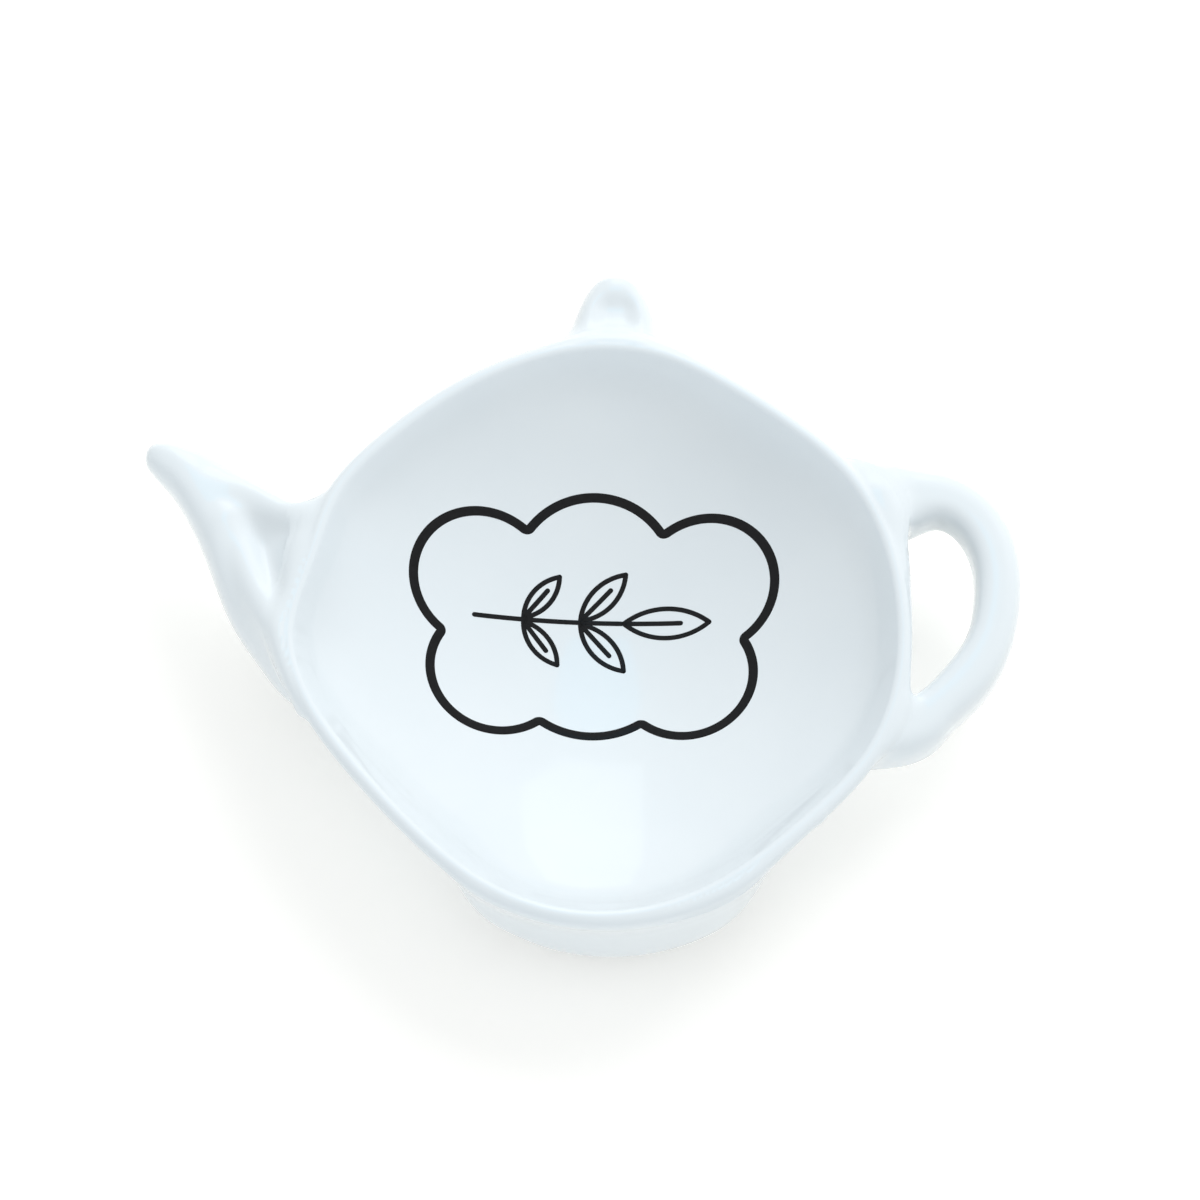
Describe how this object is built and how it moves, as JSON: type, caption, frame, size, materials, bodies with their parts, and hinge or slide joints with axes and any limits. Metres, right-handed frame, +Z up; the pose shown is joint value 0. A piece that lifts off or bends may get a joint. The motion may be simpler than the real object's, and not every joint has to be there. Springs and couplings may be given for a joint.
{
  "type": "tea bag rest",
  "caption": "Teapot-shaped porcelain rest for a used tea bag: a round dish on a foot ring, with spout, loop handle, lid knob and foot on its rim and a line print in the well.",
  "frame": {"origin": "on the table plane, under the middle of the whole part's box", "axes": "+X from the spout to the handle, +Y from the teapot's foot to its lid knob, +Z up out of the well"},
  "size_m": [0.1214, 0.0992, 0.0192],
  "materials": {
    "white_glaze": "gloss",
    "bisque": "matte",
    "black_print": "gloss"
  },
  "bodies": {
    "root": {"dish": "white_glaze", "foot_ring": "bisque", "spout": "white_glaze", "handle": "white_glaze", "lid_knob": "white_glaze", "foot_lobe": "white_glaze", "print_frame": "black_print", "print_sprig": "black_print"}
  },
  "joints": []
}
